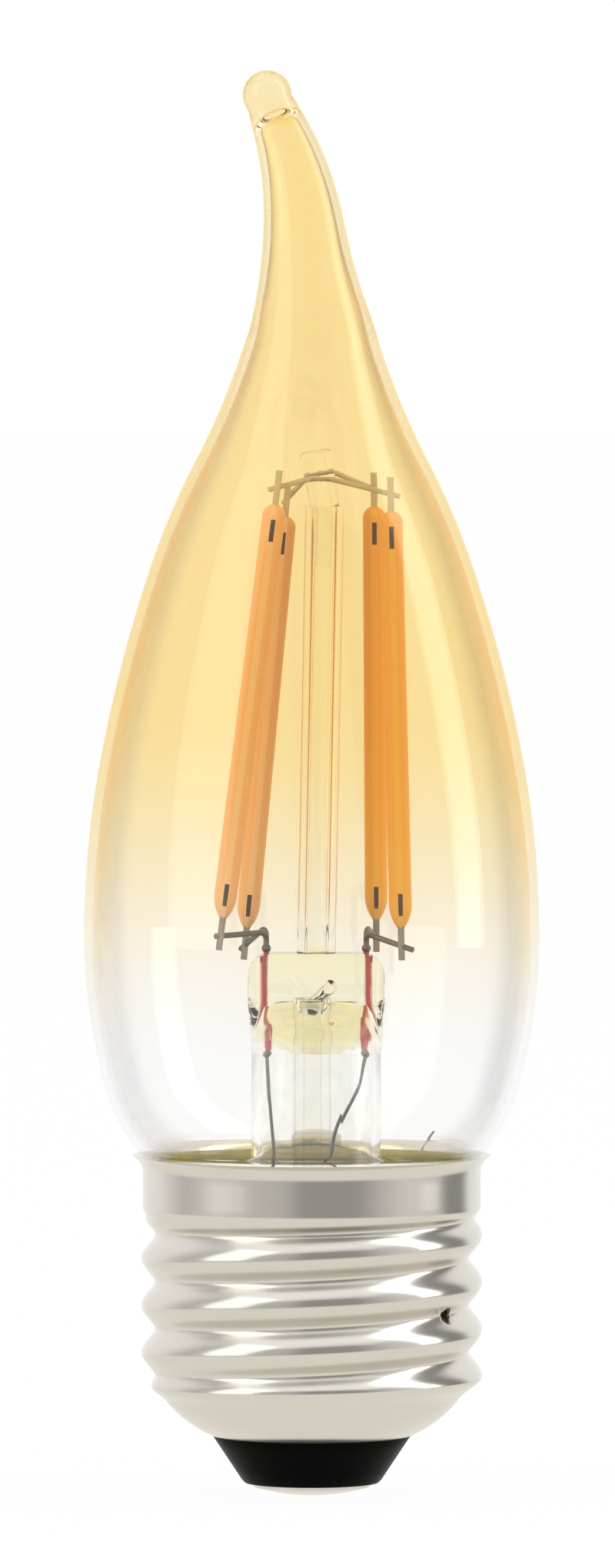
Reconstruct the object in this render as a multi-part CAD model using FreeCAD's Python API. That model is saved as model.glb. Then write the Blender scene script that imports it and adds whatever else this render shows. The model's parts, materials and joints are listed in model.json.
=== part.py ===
import FreeCAD, Part
import math
import os
from FreeCAD import Matrix, Vector

# A bent-tip candle lamp: clear blown glass on a medium screw cap, lit by four filament sticks.
# The origin is the lowest point of the centre contact, on the lamp's axis, with +Z towards the tip.
# The front, seen by a viewer, faces -Y. Lengths are in millimetres and angles in degrees.

# Screw cap, drawn from thin plated sheet
SHELL_WALL = 0.28
NECK_GAP = 0.35
COLLAR_LENGTH = 3.4
COLLAR_STEP = 0.95
SLEEVE_LENGTH = 12.2
STEP_HEIGHT = 0.8
THREAD_HEIGHT = 1.05
THREAD_PITCH = 25.4 / 7
THREAD_BANDS = 10
THREAD_RUN_IN = 0.9
THREAD_RUN_OUT = 1.6
FIRST_CREST_RISE = 0.69
LIP_FLARE = 0.77
LIP_HEIGHT = 1.3
SHOULDER_HEIGHT = 3.9
SHOULDER_BULGE_SHARE = 0.66
SHOULDER_MIDDLE_SHARE = 0.55
SHELL_EDGE_RADIUS = 7.65
SHELL_EDGE_WIDTH = 0.55
SHELL_EDGE_RISE = 0.26
CAP_VENT_RADIUS = 0.65
CAP_VENT_BEARING = -32.0
CAP_VENT_HEIGHT = 14.3

# Moulded black insulator, and the centre contact riveted through it
CONTACT_RADIUS = 4.5
CONTACT_DOME = 0.65
CONTACT_EDGE = 0.3
SHANK_RADIUS = 1.2
SHANK_BORE = 0.35
SHANK_LENGTH = 2.45
INSULATOR_FACE_RADIUS = 5.4
INSULATOR_CONE = 3.65
INSULATOR_CHAMFER = 0.25
INSULATOR_WEB = 2.65
FUNNEL_RIM_RADIUS = 9.2

# Blown envelope: its wall, and the slope of its outline at shares of the body's length
GLASS_WALL = 0.7
NECK_RADIUS = 12.37
NECK_LENGTH = 2.25
BODY_LENGTH = 63.6
OUTLINE_SLOPES = (
    (0.0204, -52.0),
    (0.0299, -38.0),
    (0.0610, -27.2),
    (0.0983, -16.4),
    (0.1725, -9.6),
    (0.2846, 0.0),
    (0.5079, 11.0),
    (0.7296, 18.4),
    (0.8601, 27.5),
    (1.0, 17.8),
)
# Bent tip: sideways place, height above the body's end and radius of each section
TIP_SECTIONS = (
    (-0.12, 2.6, 4.42),
    (-0.40, 6.5, 3.5),
    (-0.78, 10.6, 2.93),
    (-1.45, 13.9, 2.5),
    (-2.35, 16.5, 2.12),
    (-3.2, 18.6, 1.78),
)
TIP_WALL = 0.55
BEAD_RADIUS = 1.87
BEAD_RISE = 0.65
BEAD_DRIFT = -0.22

# Glass stem: trumpet flare, tube and the pinched press that seals the wires
STEM_OFFSET = 0.35
STEM_RADIUS = 4.965
STEM_WALL = 0.68
FLARE_BEND = 4.2
PRESS_OVERHANG = 0.32
PRESS_THICKNESS = 3.6
PRESS_HEIGHT = 3.6
PRESS_SHARE = 0.2657
PRESS_CORNER = 1.8
PINCH_LENGTH = 4.0
CAVITY_GAP = 0.7
CAVITY_EDGE_WIDTH = 0.9
PRESS_VENT_RADIUS = 0.5
PRESS_VENT_DRIFT = 1.5
PRESS_VENT_RISE = 1.2

# Exhaust tube inside the stem, sealed off at its lower end
EXHAUST_RADIUS = 1.42
EXHAUST_BORE = 0.7
EXHAUST_OFFSET = -0.3
EXHAUST_LENGTH = 21.2
EXHAUST_TIP_LENGTH = 2.2
EXHAUST_TIP_RADIUS = 0.88
EXHAUST_TIP_ROUND = 0.5

# Glass column on the press, with a solid bead that holds the support wires
COLUMN_RADIUS = 1.5
COLUMN_BORE = 0.75
COLUMN_OVERRUN = 2.1
COLUMN_LEAN = 1.1
SHANK_DEPTH = 4.6
STUB_FOOT_RADIUS = 1.09
STUB_TOP_RADIUS = 1.27
STUB_LENGTH = 4.3
STUB_LEAN = -10.0
STUB_ROUND = 0.45

# Filament sticks: a coated carrier strip with a welded tab at each end
FILAMENT_SHARE = 0.5063
COATING_RADIUS = 0.88
COATING_TAPER = 2.1
COATING_POINT_RADIUS = 0.3
COATING_CROWN = 0.66
STRIP_WIDTH = 0.8
STRIP_THICKNESS = 0.3
STRIP_INSET = 1.3
TAB_WIDTH = 0.5
TAB_THICKNESS = 0.15
TAB_LAP = 1.7
LOWER_TAB_REACH = 2.2
UPPER_TAB_REACH = 2.6
# Foot and head of each stick: place across, depth and, for the foot, height above the press
FILAMENTS = {
    "front_left": ((-6.83, -3.0, 2.56), (-2.78, -1.7)),
    "back_left": ((-5.05, 3.5, 1.5), (-2.04, 1.7)),
    "back_right": ((4.99, 3.5, 2.1), (4.82, 1.9)),
    "front_right": ((6.83, -3.0, 1.8), (6.03, -1.9)),
}

# Wires: for each stick the side of its inner lead, the lead's rise and its end past the tab
LEAD_RADIUS = 0.22
LEAD_INSET = 0.435
INNER_LEADS = {
    "front_left": (-1, 1.25, 0.5),
    "back_left": (-1, 1.65, 0.8),
    "back_right": (1, 1.6, 0.7),
    "front_right": (1, 1.15, 1.2),
}
LEAD_KNEE_DEPTH = 0.35
WELD_RADIUS = 0.36
WELD_BITE = 0.04
WIRE_BEND = 1.0
LONG_BEND = 4.0
# Outer leads: the hand, and bends sideways from the press, in depth and at shares of the way down
OUTER_LEAD_RADIUS = 0.14
OUTER_LEADS = {
    "left_outer_lead": (-1, ((0.15, 0.2, 0.13), (0.5, 1.2, 0.32), (0.1, 2.4, 0.66), (0.1, 2.4, 1.0))),
    "right_outer_lead": (
        1,
        ((-0.4, 0.8, 0.1), (-2.4, 2.3, 0.27), (-3.6, 2.9, 0.57), (-1.8, 3.4, 0.84), (-1.8, 3.4, 1.0)),
    ),
}
# Support wires: the two sticks, rise in the bead, depth there and end past the tabs
SUPPORT_RADIUS = 0.2
SUPPORT_WIRES = {
    "front": ("front_left", "front_right", 2.35, -0.5, 0.75),
    "back": ("back_left", "back_right", 3.15, 0.5, 0.5),
}
SHELL_LEAD_RADIUS = 0.11
SHELL_LEAD_BEARING = 45.6
SHELL_LEAD_FOOT = 8.2
SHELL_LEAD_END = 1.62

# Driver in the cap
BOARD_CLEARANCE = 1.37
BOARD_THICKNESS = 1.0
RECTIFIER_SIZE = (4.8, 3.9, 1.6)
RECTIFIER_CORNER = (-8.6, -2.2)
CHIP_SIZE = (4.9, 3.9, 1.5)
CHIP_CORNER = (-2.4, 4.6)
CHIP_LEG_SIZE = (0.4, 0.7, 0.4)
CHIP_LEG_PITCH = 1.27
CAPACITOR_RADIUS = 2.5
CAPACITOR_LENGTH = 8.0
CAPACITOR_CRIMP = 0.25
CAPACITOR_PLACE = (-3.2, -5.6)
RESISTOR_RADIUS = 1.1
RESISTOR_LENGTH = 6.0
RESISTOR_DROP = 0.15
RESISTOR_WIRE_RADIUS = 0.3
RESISTOR_WIRE_REACH = 1.6
CEMENT_LENGTH = 3.0
CEMENT_SWELL = 0.6

# Sizes that follow
collar_radius = NECK_RADIUS + NECK_GAP + SHELL_WALL
sleeve_radius = collar_radius - COLLAR_STEP
board_radius = sleeve_radius - SHELL_WALL - BOARD_CLEARANCE
filament_length = BODY_LENGTH * FILAMENT_SHARE
column_length = filament_length + COLUMN_OVERRUN
stem_bore = STEM_RADIUS - STEM_WALL
press_width = 2 * (STEM_RADIUS + PRESS_OVERHANG)
lead_spread = stem_bore - LEAD_INSET

# Heights that follow
insulator_face_z = CONTACT_DOME + CONTACT_EDGE
shell_edge_z = insulator_face_z + INSULATOR_CONE
sleeve_z = shell_edge_z + SHOULDER_HEIGHT
step_z = sleeve_z + SLEEVE_LENGTH
collar_z = step_z + STEP_HEIGHT
lip_start_z = collar_z + COLLAR_LENGTH
lip_z = lip_start_z + LIP_HEIGHT
seal_z = lip_start_z - NECK_LENGTH
body_end_z = lip_start_z + BODY_LENGTH
press_top_z = lip_start_z + BODY_LENGTH * PRESS_SHARE
board_top_z = sleeve_z + BOARD_THICKNESS
press_bottom_z = press_top_z - PRESS_HEIGHT
pinch_z = press_bottom_z - PINCH_LENGTH
exhaust_x = STEM_OFFSET + EXHAUST_OFFSET
weld_z = press_top_z + WELD_RADIUS
shank_top_z = insulator_face_z + SHANK_LENGTH


def at(r, z):
    """A point of a profile, r from the axis at height z, in the XZ plane."""
    return Vector(r, 0, z)


def outline(start, *runs):
    """Edges from start through runs: a point is a straight run, a pair of points an arc."""
    edges, here = [], at(*start)
    for run in runs:
        if isinstance(run[0], tuple):
            via, there = at(*run[0]), at(*run[1])
            edges.append(Part.Arc(here, via, there).toShape())
        else:
            there = at(*run)
            edges.append(Part.makeLine(here, there))
        here = there
    return edges


def revolved(start, *runs):
    """A solid turned about the axis from a profile that closes by itself."""
    face = Part.Face(Part.Wire(outline(start, *runs, start)))
    return face.revolve(Vector(), Vector(0, 0, 1), 360).Solids[0]


def bar(start, end, radius):
    """A round bar between two points."""
    way = Vector(*end) - Vector(*start)
    return Part.makeCylinder(radius, way.Length, Vector(*start), way)


def upright(radius, low, high, x=0.0, y=0.0):
    """A round bar along +Z between two heights."""
    return Part.makeCylinder(radius, high - low, Vector(x, y, low))


def leaning(degrees):
    """The direction of an axis that leans so far from +Z towards +X."""
    lean = math.radians(degrees)
    return Vector(math.sin(lean), 0, math.cos(lean))


def largest(shape):
    """The biggest solid of a shape."""
    return max(shape.Solids, key=lambda solid: solid.Volume)


def wire(points, radius, bend=WIRE_BEND):
    """A round wire along straight runs joined by tangent arcs."""
    points = [Vector(*p) for p in points]
    edges, here = [], points[0]
    for before, corner, after in zip(points, points[1:], points[2:]):
        into, out = corner - before, after - corner
        half_turn = into.getAngle(out) / 2
        shorter = min(into.Length, out.Length)
        reach = min(bend * math.tan(half_turn), 0.45 * shorter)
        arc_radius = reach / math.tan(half_turn)
        into.normalize()
        out.normalize()
        inward = (out - into).normalize()
        first, last = corner - into * reach, corner + out * reach
        middle = corner + inward * (arc_radius / math.cos(half_turn) - arc_radius)
        edges.append(Part.makeLine(here, first))
        edges.append(Part.Arc(first, middle, last).toShape())
        here = last
    edges.append(Part.makeLine(here, points[-1]))
    section = Part.Wire(Part.Circle(points[0], points[1] - points[0], radius).toShape())
    return Part.Wire(edges).makePipeShell([section], True, False)


def shoulder(inset):
    """The cap's rounded shoulder as three profile points, inset by part of the wall."""
    lean = math.atan2(SHELL_EDGE_RISE, SHELL_EDGE_WIDTH)
    diagonal = inset * math.sqrt(0.5)
    start = (
        SHELL_EDGE_RADIUS + SHELL_EDGE_WIDTH - inset * math.sin(lean),
        shell_edge_z + SHELL_EDGE_RISE + inset * math.cos(lean),
    )
    middle = SHELL_EDGE_RADIUS + SHELL_EDGE_WIDTH
    middle += SHOULDER_BULGE_SHARE * (sleeve_radius - middle)
    via = (
        middle - diagonal,
        shell_edge_z + SHOULDER_MIDDLE_SHARE * SHOULDER_HEIGHT + diagonal,
    )
    return start, via, (sleeve_radius - inset, sleeve_z)


def lip_spread(rise):
    """How far the flared lip has bent outwards at a height above its foot."""
    bend = (LIP_HEIGHT**2 + LIP_FLARE**2) / (2 * LIP_FLARE)
    return bend - math.sqrt(bend**2 - rise**2)


def lip(inset):
    """The flared lip's foot, middle and edge as profile points, inset by part of the wall."""
    collar, half = collar_radius - inset, LIP_HEIGHT / 2
    middle = (collar + lip_spread(half), lip_start_z + half)
    return (collar, lip_start_z), middle, (collar + LIP_FLARE, lip_z)


def faded(share):
    """0 below 0, 1 above 1 and smooth between."""
    share = min(1.0, max(0.0, share))
    return share**2 * (3 - 2 * share)


def thread_circle(z, inset):
    """The sleeve's section at a height: a circle whose middle turns about the axis, once each pitch.

    An offset e of the middle adds e (1 + cos) to the root's radius, which is the rolled thread.
    It grows from nothing above the shoulder and dies away in the step to the collar.
    """
    step_share = min(1.0, max(0.0, (z - step_z) / STEP_HEIGHT))
    root = sleeve_radius + step_share * (collar_radius - sleeve_radius)
    share = faded((z - sleeve_z) / THREAD_RUN_IN) * faded((collar_z - z) / THREAD_RUN_OUT)
    offset = share * (sleeve_radius + THREAD_HEIGHT - root) / 2
    turn = 2 * math.pi * (z - sleeve_z - FIRST_CREST_RISE) / THREAD_PITCH
    middle = Vector(offset * math.cos(turn), offset * math.sin(turn), z)
    return Part.Wire(Part.Circle(middle, Vector(0, 0, 1), root + offset - inset).toShape())


def sleeve_faces(inset):
    """Bands from circle to circle up the threaded sleeve and the step to the collar."""
    rise = collar_z - sleeve_z
    count = round(rise / THREAD_PITCH * THREAD_BANDS)
    circles = [thread_circle(sleeve_z + rise * i / count, inset) for i in range(count + 1)]
    return Part.makeLoft(circles, False, True).Faces


def turned_faces(start, *runs):
    """Faces turned about the axis from an open profile."""
    return Part.Wire(outline(start, *runs)).revolve(Vector(), Vector(0, 0, 1), 360).Faces


def screw_shell():
    """Sheet shell: shoulder, threaded sleeve, plain collar and flared lip, with a vent hole."""
    outer, inner = shoulder(0.0), shoulder(SHELL_WALL)
    foot = turned_faces(
        inner[2],
        (inner[1], inner[0]),
        (SHELL_EDGE_RADIUS, shell_edge_z + SHELL_WALL),
        (SHELL_EDGE_RADIUS, shell_edge_z),
        outer[0],
        (outer[1], outer[2]),
    )
    outer, inner = lip(0.0), lip(SHELL_WALL)
    collar = turned_faces(
        (collar_radius, collar_z),
        outer[0],
        (outer[1], outer[2]),
        inner[2],
        (inner[1], inner[0]),
        (collar_radius - SHELL_WALL, collar_z),
    )
    skin = Part.makeShell([*foot, *sleeve_faces(0.0), *sleeve_faces(SHELL_WALL), *collar])
    skin.sewShape()
    shell = Part.makeSolid(skin)
    if shell.Volume < 0:
        shell.reverse()
    bearing = math.radians(CAP_VENT_BEARING)
    way = Vector(math.cos(bearing), math.sin(bearing), 0)
    height = Vector(0, 0, CAP_VENT_HEIGHT)
    return shell.cut(bar(height + way * SHELL_EDGE_RADIUS, height + way * collar_radius, CAP_VENT_RADIUS))


def base_insulator():
    """Moulded cone that grips the shell's edge, with a funnel inside and a ledge for the board."""
    inner = shoulder(SHELL_WALL)
    corner = INSULATOR_FACE_RADIUS - INSULATOR_CHAMFER
    return revolved(
        (SHANK_RADIUS, insulator_face_z),
        (corner, insulator_face_z),
        (INSULATOR_FACE_RADIUS, insulator_face_z + INSULATOR_CHAMFER),
        (SHELL_EDGE_RADIUS, shell_edge_z),
        (SHELL_EDGE_RADIUS, shell_edge_z + SHELL_WALL),
        inner[0],
        (inner[1], inner[2]),
        (FUNNEL_RIM_RADIUS, sleeve_z),
        (SHANK_RADIUS, insulator_face_z + INSULATOR_WEB),
    )


def centre_contact():
    """Shallow domed head with a hollow rivet shank."""
    bend = (CONTACT_RADIUS**2 + CONTACT_DOME**2) / (2 * CONTACT_DOME)
    half = CONTACT_RADIUS / 2
    via = (half, bend - math.sqrt(bend**2 - half**2))
    return revolved(
        (0, 0),
        (via, (CONTACT_RADIUS, CONTACT_DOME)),
        (CONTACT_RADIUS, insulator_face_z),
        (SHANK_RADIUS, insulator_face_z),
        (SHANK_RADIUS, shank_top_z),
        (SHANK_BORE, shank_top_z),
        (SHANK_BORE, insulator_face_z),
        (0, insulator_face_z),
    )


def envelope_outline():
    """The body's outer arcs, each tangent to the next, and the inner wall's points.

    An arc between slopes a and b over a height h moves inwards by h times tan((a + b) / 2).
    """
    r, z, slope = NECK_RADIUS, lip_start_z, 0.0
    runs, inner = [], [(r - GLASS_WALL, z)]
    for share, degrees in OUTLINE_SLOPES:
        end_z, end_slope = lip_start_z + share * BODY_LENGTH, math.radians(degrees)
        bend = (end_z - z) / (math.sin(end_slope) - math.sin(slope))
        middle = (slope + end_slope) / 2
        via = (
            r - bend * (math.cos(slope) - math.cos(middle)),
            z + bend * (math.sin(middle) - math.sin(slope)),
        )
        end = (r - bend * (math.cos(slope) - math.cos(end_slope)), end_z)
        runs.append((via, end))
        for point, lean in ((via, middle), (end, end_slope)):
            inner.append(
                (point[0] - GLASS_WALL * math.cos(lean), point[1] - GLASS_WALL * math.sin(lean))
            )
        (r, z), slope = end, end_slope
    inner[-1] = (r - GLASS_WALL / math.cos(slope), z)
    return runs, inner


def tip_loft(first_radius, wall, sections):
    """The bent tip lofted through circles across its centre line, and the line's last point."""
    centres = [at(0, body_end_z)]
    centres += [at(x, body_end_z + z) for x, z, _ in sections]
    radii = [first_radius] + [r - wall for _, _, r in sections]
    line = Part.BSplineCurve()
    line.interpolate(centres)
    circles = []
    for centre, radius in zip(centres, radii):
        way = Vector(0, 0, 1)
        if circles:
            way = line.getD1(line.parameter(centre))[1]
        circles.append(Part.Wire(Part.Circle(centre, way, radius).toShape()))
    return Part.makeLoft(circles, True, False), centres[-1]


def glass_envelope():
    """Thin blown glass: open neck, flame-shaped body and a bent tip closed by a solid bead."""
    runs, inner = envelope_outline()
    bore = NECK_RADIUS - GLASS_WALL
    neck = [(NECK_RADIUS, seal_z), (NECK_RADIUS, lip_start_z)]
    body = revolved((0, seal_z), *neck, *runs, (0, body_end_z))
    hollow = revolved((0, seal_z), (bore, seal_z), *inner, (0, body_end_z))
    tip, tip_end = tip_loft(runs[-1][1][0], 0.0, TIP_SECTIONS)
    tip_hollow, hollow_end = tip_loft(inner[-1][0], TIP_WALL, TIP_SECTIONS[:-1])
    dome = Part.makeSphere(TIP_SECTIONS[-2][2] - TIP_WALL, hollow_end)
    bead = Part.makeSphere(BEAD_RADIUS, tip_end + at(BEAD_DRIFT, BEAD_RISE))
    return body.fuse([tip, bead]).cut([hollow, tip_hollow, dome])


def slot_wire(width, depth, z):
    """A round-ended slot outline at height z."""
    end = depth / 2
    straight = width / 2 - end
    a, b = Vector(-straight, -end, z), Vector(straight, -end, z)
    c, d = Vector(straight, end, z), Vector(-straight, end, z)
    right, left = at(straight + end, z), at(-straight - end, z)
    edges = [Part.makeLine(a, b), Part.Arc(b, right, c).toShape()]
    edges += [Part.makeLine(c, d), Part.Arc(d, left, a).toShape()]
    return Part.Wire(edges)


def quartered_circle(radius, z):
    """A circle in four arcs, to match a slot outline's four edges."""
    edges = []
    for start in (225, 315, 45, 135):
        turns = [math.radians(start + turn) for turn in (0, 45, 90)]
        points = [Vector(radius * math.cos(t), radius * math.sin(t), z) for t in turns]
        edges.append(Part.Arc(*points).toShape())
    return Part.Wire(edges)


def flare():
    """Trumpet-shaped foot of the stem, its rim fused into the envelope's neck."""
    centre_r, centre_z = STEM_RADIUS + FLARE_BEND, seal_z + FLARE_BEND
    wide = FLARE_BEND + STEM_WALL
    diagonal = math.sqrt(0.5)
    rim = NECK_RADIUS - GLASS_WALL + STEM_OFFSET
    return revolved(
        (stem_bore, centre_z),
        ((centre_r - wide * diagonal, centre_z - wide * diagonal), (centre_r, centre_z - wide)),
        (rim, centre_z - wide),
        (rim, seal_z),
        (centre_r, seal_z),
        (
            (centre_r - FLARE_BEND * diagonal, centre_z - FLARE_BEND * diagonal),
            (STEM_RADIUS, centre_z),
        ),
    )


def press():
    """Flat pinched block with rounded upper corners, over the tube's flattened end."""
    top = slot_wire(press_width, PRESS_THICKNESS, press_bottom_z)
    pinch = Part.makeLoft([quartered_circle(STEM_RADIUS, pinch_z), top], True, True)
    edge = slot_wire(2 * stem_bore - CAVITY_EDGE_WIDTH, CAVITY_EDGE_WIDTH, press_bottom_z - CAVITY_GAP)
    cavity = Part.makeLoft([quartered_circle(stem_bore, pinch_z), edge], True, True)
    half, low, high = press_width / 2, press_bottom_z, press_top_z
    straight = half - PRESS_CORNER
    knee = PRESS_CORNER * (1 - math.sqrt(0.5))
    front = outline(
        (-half, low),
        (half, low),
        (half, high - PRESS_CORNER),
        ((half - knee, high - knee), (straight, high)),
        (-straight, high),
        ((knee - half, high - knee), (-half, high - PRESS_CORNER)),
        (-half, low),
    )
    face = Part.Face(Part.Wire(front))
    face.translate(Vector(0, -PRESS_THICKNESS, 0))
    block = Part.Face(top).extrude(Vector(0, 0, PRESS_HEIGHT))
    block = block.common(face.extrude(Vector(0, 2 * PRESS_THICKNESS, 0)))
    return block, pinch.cut(cavity)


def stem():
    """Flare, tube and press as one glass piece, with channels for the wires and the gas."""
    radius, low = STEM_RADIUS, seal_z + FLARE_BEND
    tube = revolved((stem_bore, low), (radius, low), (radius, pinch_z), (stem_bore, pinch_z))
    rim_shift = Vector(STEM_OFFSET, 0, 0)
    upper = tube.fuse(list(press()))
    upper.translate(rim_shift)
    foot = flare()
    foot.translate(rim_shift)
    foot = foot.common(upright(NECK_RADIUS - GLASS_WALL, seal_z - FLARE_BEND, low))
    body = upper.fuse(foot).removeSplitter()
    channels = [upright(LEAD_RADIUS, pinch_z, press_top_z, lead_x(hand)) for hand in (-1, 1)]
    socket = upright(EXHAUST_RADIUS, pinch_z, press_bottom_z, exhaust_x)
    vent = bar(
        (exhaust_x, 0, press_bottom_z - PRESS_VENT_RADIUS / 2),
        (exhaust_x + PRESS_VENT_DRIFT, -PRESS_THICKNESS / 2, press_bottom_z + PRESS_VENT_RISE),
        PRESS_VENT_RADIUS,
    )
    return largest(body.cut([*channels, socket, vent]))


def exhaust_tube():
    """Exhaust tube with its bore, drawn to a sealed tip inside the cap."""
    tip = press_bottom_z - EXHAUST_LENGTH
    drawn = tip + EXHAUST_TIP_LENGTH
    tube = revolved(
        (0, tip),
        ((EXHAUST_TIP_RADIUS, tip + EXHAUST_TIP_ROUND), (EXHAUST_RADIUS, drawn)),
        (EXHAUST_RADIUS, press_bottom_z),
        (EXHAUST_BORE, press_bottom_z),
        (EXHAUST_BORE, drawn + EXHAUST_TIP_ROUND),
        (0, drawn),
    )
    tube.translate(Vector(exhaust_x, 0, 0))
    return tube


def stem_column():
    """Glass tube standing on the press, leaning a little to the right."""
    way = leaning(COLUMN_LEAN)
    top = column_top()
    start = top - way * (column_length + COLUMN_RADIUS)
    tube = bar(start, top, COLUMN_RADIUS).cut(bar(start, top, COLUMN_BORE))
    return tube.common(upright(2 * COLUMN_RADIUS, press_top_z, top.z + COLUMN_RADIUS, STEM_OFFSET))


def column_top():
    """The middle of the column's upper end."""
    return at(STEM_OFFSET, press_top_z) + leaning(COLUMN_LEAN) * column_length


def column_bead():
    """Solid glass bead: a shank in the column's bore and a leaning stub above it."""
    top, along, way = column_top(), leaning(COLUMN_LEAN), leaning(STUB_LEAN)
    shank = bar(top - along * SHANK_DEPTH, top, COLUMN_BORE)
    sunk = STUB_ROUND
    stub = Part.makeCone(
        STUB_FOOT_RADIUS, STUB_TOP_RADIUS, STUB_LENGTH + sunk, top - way * sunk, way
    )
    stub = stub.common(bar(top, top + along * 2 * STUB_LENGTH, 2 * STUB_TOP_RADIUS))
    rim = max(stub.Edges, key=lambda edge: edge.CenterOfMass.z)
    return shank.fuse(stub.makeFillet(STUB_ROUND, [rim]))


def stick_frame(foot, head):
    """The matrix that carries a stick drawn along +Z, its front to -Y, to its place."""
    start = Vector(foot[0], foot[1], press_top_z + foot[2])
    drift = Vector(head[0] - foot[0], head[1] - foot[1], 0)
    rise = math.sqrt(filament_length**2 - drift.Length**2)
    along = (drift + Vector(0, 0, rise)).normalize()
    across = Vector(0, 1, 0).cross(along).normalize()
    back = along.cross(across)
    return Matrix(
        across.x, back.x, along.x, start.x,
        across.y, back.y, along.y, start.y,
        across.z, back.z, along.z, start.z,
        0, 0, 0, 1,
    )


def block(width, depth, low, high, front):
    """A box centred across, from its front face's depth back, between two heights."""
    return Part.makeBox(width, depth, high - low, Vector(-width / 2, front, low))


def filament(foot, head):
    """Coating, carrier strip and two tabs of one stick, in place."""
    length, radius, point = filament_length, COATING_RADIUS, COATING_POINT_RADIUS
    half = STRIP_THICKNESS / 2
    lap = STRIP_INSET + TAB_LAP
    tab_front = -half - TAB_THICKNESS
    strip = block(STRIP_WIDTH, STRIP_THICKNESS, STRIP_INSET, length - STRIP_INSET, -half)
    lower = block(TAB_WIDTH, TAB_THICKNESS, -LOWER_TAB_REACH, lap, tab_front)
    upper = block(TAB_WIDTH, TAB_THICKNESS, length - lap, length + UPPER_TAB_REACH, tab_front)
    coating = revolved(
        (0, 0),
        (point, point),
        (radius, COATING_TAPER),
        (radius, length - radius),
        (COATING_CROWN, length - radius / 3),
        (0, length),
    )
    pieces = {
        "coating": coating.cut([strip, lower, upper]),
        "strip": strip,
        "lower_tab": lower,
        "upper_tab": upper,
    }
    frame = stick_frame(foot, head)
    for shape in pieces.values():
        shape.transformShape(frame)
    return pieces


def weld_point(name, end):
    """Where a lead lies against the back of a stick's tab, biting a little into it."""
    behind = LEAD_RADIUS - STRIP_THICKNESS / 2 - WELD_BITE
    along = -LOWER_TAB_REACH / 2
    if end == "upper":
        along = filament_length + UPPER_TAB_REACH / 2
    return stick_frame(*FILAMENTS[name]).multVec(Vector(0, behind, along))


def lead_x(hand):
    """Sideways place of the wires sealed in the press, on one hand or the other."""
    return STEM_OFFSET + hand * lead_spread


def inner_leads(pieces):
    """Four wires from the welds on the press up and out to the backs of the lower tabs."""
    leads = {}
    for name, (hand, rise, past) in INNER_LEADS.items():
        tab = weld_point(name, "lower")
        back = math.copysign(LEAD_KNEE_DEPTH, tab.y)
        knee = Vector(lead_x(hand), back, weld_z + rise)
        end = tab + (tab - knee).normalize() * past
        lead = wire([(lead_x(hand), 0, weld_z), knee, end], LEAD_RADIUS)
        leads[name] = lead.cut(pieces[f"{name}_lower_tab"])
    for hand, front, back in ((-1, "front_left", "back_left"), (1, "front_right", "back_right")):
        leads[front] = leads[front].fuse(ball_at(hand, weld_z))
        leads[back] = leads[back].cut(leads[front])
    return {f"{name}_inner_lead": largest(shape) for name, shape in leads.items()}


def ball_at(hand, z):
    """A weld's bead on the line of the sealed wires."""
    return Part.makeSphere(WELD_RADIUS, at(lead_x(hand), z))


def seal_wires():
    """Copper-clad wires sealed in the press, from weld to weld."""
    wires = {}
    for hand, name in ((-1, "left"), (1, "right")):
        welds = [ball_at(hand, z) for z in (pinch_z, weld_z)]
        wires[f"{name}_seal_wire"] = upright(LEAD_RADIUS, pinch_z, weld_z, lead_x(hand)).cut(welds)
    return wires


def outer_leads():
    """Wires from the press down through the stem to the driver, each with its weld."""
    leads = {}
    for name, (hand, bends) in OUTER_LEADS.items():
        x, drop = lead_x(hand), pinch_z - board_top_z
        route = [(x, 0, pinch_z)]
        route += [(x + sideways, depth, pinch_z - share * drop) for sideways, depth, share in bends]
        leads[name] = wire(route, OUTER_LEAD_RADIUS, LONG_BEND).fuse(ball_at(hand, pinch_z))
    return leads


def support_wires(pieces):
    """Two wires held in the bead, one to the front pair of tabs and one to the back pair."""
    wires = {}
    for name, (left, right, rise, depth, past) in SUPPORT_WIRES.items():
        start, end = weld_point(left, "upper"), weld_point(right, "upper")
        middle = column_top() + leaning(STUB_LEAN) * rise + Vector(0, depth, 0)
        inward, outward = (middle - start).normalize(), (end - middle).normalize()
        route = [start - inward * past, middle, end + outward * past]
        tabs = [pieces[f"{stick}_upper_tab"] for stick in (left, right)]
        bent = wire(route, SUPPORT_RADIUS, LONG_BEND)
        wires[f"{name}_support_wire"] = largest(bent.cut(tabs))
    return wires


def basing_cement(neighbours):
    """Ring of cement that fills the collar round the neck and swells out under the lip."""
    low, high = lip_start_z - CEMENT_LENGTH, lip_start_z + CEMENT_SWELL
    outer = collar_radius - SHELL_WALL
    in_lip = collar_radius - SHELL_WALL / 2 + lip_spread(CEMENT_SWELL)
    ring = revolved((NECK_RADIUS, low), (outer, low), (outer, lip_start_z), (in_lip, high), (NECK_RADIUS, high))
    return largest(ring.cut(neighbours))


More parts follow.
